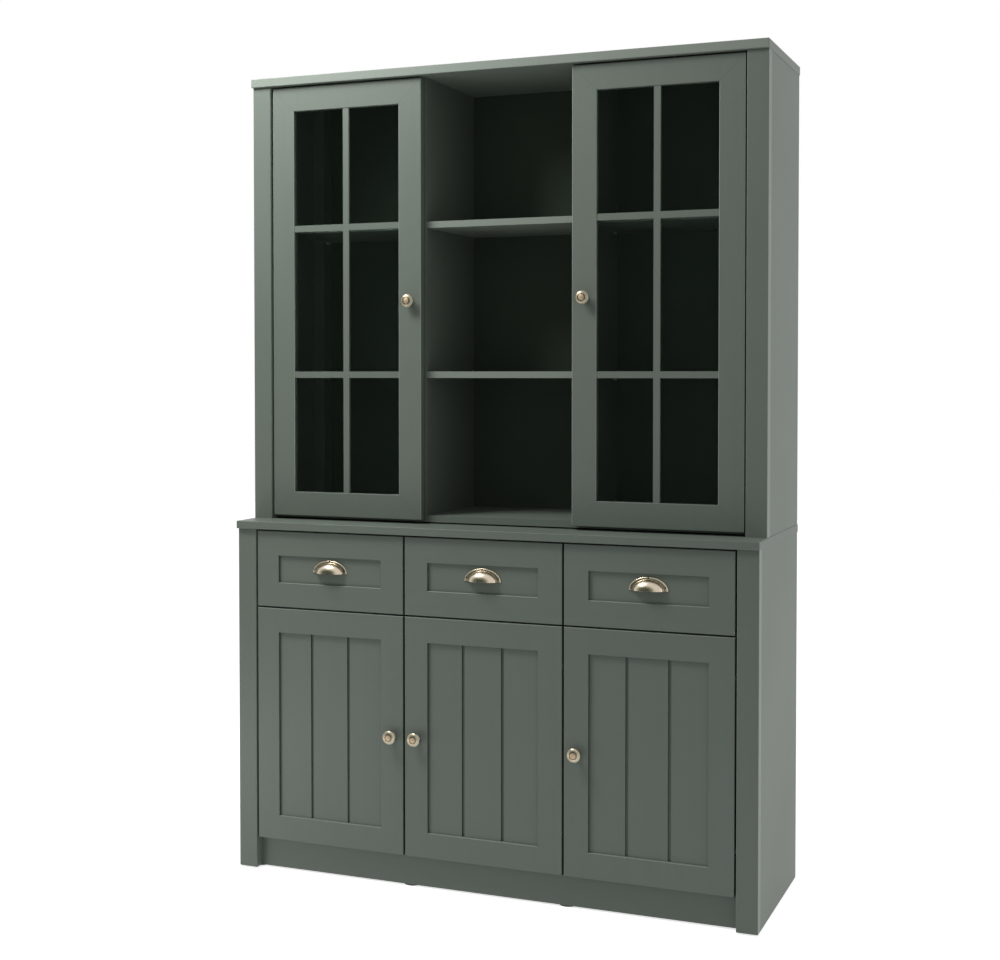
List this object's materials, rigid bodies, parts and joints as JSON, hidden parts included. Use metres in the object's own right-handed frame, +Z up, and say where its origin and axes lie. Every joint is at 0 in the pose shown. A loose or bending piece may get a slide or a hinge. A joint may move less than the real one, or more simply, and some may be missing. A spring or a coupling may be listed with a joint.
{
  "type": "hutch",
  "caption": "Painted hutch: a base cabinet with drawers over doors, under an upper cabinet with open shelves between glazed doors.",
  "frame": {"origin": "on the floor under the middle of the whole bounding box", "axes": "+Z up; the doors and drawers face -Y; +X is to the right seen from the front"},
  "size_m": [1.253, 0.4244, 1.883],
  "materials": {
    "sage_paint": "satin painted board",
    "drawer_board": "foil-faced board",
    "brass": "antique, polished",
    "steel": "plated",
    "grey_plastic": "moulded",
    "dark_plastic": "moulded",
    "clear_glass": "clear"
  },
  "bodies": {
    "cabinet": {"base_top_board": "sage_paint", "base_left_side": "sage_paint", "base_right_side": "sage_paint", "base_posts": "sage_paint", "base_bottom_board": "sage_paint", "base_dividers": "sage_paint", "base_back_panel": "sage_paint", "plinth_boards": "sage_paint", "base_rails": "sage_paint", "base_shelves": "sage_paint", "packers": "sage_paint", "hutch_top_board": "sage_paint", "hutch_left_side": "sage_paint", "hutch_right_side": "sage_paint", "hutch_posts": "sage_paint", "hutch_bottom_board": "sage_paint", "hutch_dividers": "sage_paint", "hutch_back_panel": "sage_paint", "middle_shelves": "sage_paint", "side_shelves": "sage_paint", "shelf_supports": "grey_plastic", "drawer_runners": "steel", "feet": "dark_plastic", "hinge_arms": "steel", "wall_brackets": "steel", "joining_brackets": "steel"},
    "base_left_door": {"base_left_door_panel": "sage_paint", "base_left_door_knob": "brass", "base_left_door_hinge_cups": "steel"},
    "base_middle_door": {"base_middle_door_panel": "sage_paint", "base_middle_door_knob": "brass", "base_middle_door_hinge_cups": "steel"},
    "base_right_door": {"base_right_door_panel": "sage_paint", "base_right_door_knob": "brass", "base_right_door_hinge_cups": "steel"},
    "hutch_left_door": {"hutch_left_door_frame": "sage_paint", "hutch_left_door_glazing_bars": "sage_paint", "hutch_left_door_glass": "clear_glass", "hutch_left_door_glass_beads": "sage_paint", "hutch_left_door_knob": "brass", "hutch_left_door_hinge_cups": "steel"},
    "hutch_right_door": {"hutch_right_door_frame": "sage_paint", "hutch_right_door_glazing_bars": "sage_paint", "hutch_right_door_glass": "clear_glass", "hutch_right_door_glass_beads": "sage_paint", "hutch_right_door_knob": "brass", "hutch_right_door_hinge_cups": "steel"},
    "left_drawer": {"left_drawer_front": "sage_paint", "left_drawer_box": "drawer_board", "left_drawer_pull": "brass", "left_drawer_slides": "steel"},
    "middle_drawer": {"middle_drawer_front": "sage_paint", "middle_drawer_box": "drawer_board", "middle_drawer_pull": "brass", "middle_drawer_slides": "steel"},
    "right_drawer": {"right_drawer_front": "sage_paint", "right_drawer_box": "drawer_board", "right_drawer_pull": "brass", "right_drawer_slides": "steel"}
  },
  "joints": [
    {"name": "base_left_door_hinge", "type": "hinge", "parent": "cabinet", "child": "base_left_door", "pos_m": [-0.565, -0.18275, 0.3505], "axis": [0, 0, -1], "range_deg": [0, 100]},
    {"name": "base_middle_door_hinge", "type": "hinge", "parent": "cabinet", "child": "base_middle_door", "pos_m": [0.181, -0.18275, 0.3505], "axis": [0, 0, 1], "range_deg": [0, 90]},
    {"name": "base_right_door_hinge", "type": "hinge", "parent": "cabinet", "child": "base_right_door", "pos_m": [0.565, -0.18275, 0.3505], "axis": [0, 0, 1], "range_deg": [0, 100]},
    {"name": "hutch_left_door_hinge", "type": "hinge", "parent": "cabinet", "child": "hutch_left_door", "pos_m": [-0.565, -0.10425, 1.34835], "axis": [0, 0, -1], "range_deg": [0, 100]},
    {"name": "hutch_right_door_hinge", "type": "hinge", "parent": "cabinet", "child": "hutch_right_door", "pos_m": [0.565, -0.10425, 1.34835], "axis": [0, 0, 1], "range_deg": [0, 100]},
    {"name": "left_drawer_slide", "type": "slide", "parent": "cabinet", "child": "left_drawer", "axis": [0, -1, 0], "range_m": [0, 0.26]},
    {"name": "middle_drawer_slide", "type": "slide", "parent": "cabinet", "child": "middle_drawer", "axis": [0, -1, 0], "range_m": [0, 0.26]},
    {"name": "right_drawer_slide", "type": "slide", "parent": "cabinet", "child": "right_drawer", "axis": [0, -1, 0], "range_m": [0, 0.26]}
  ]
}
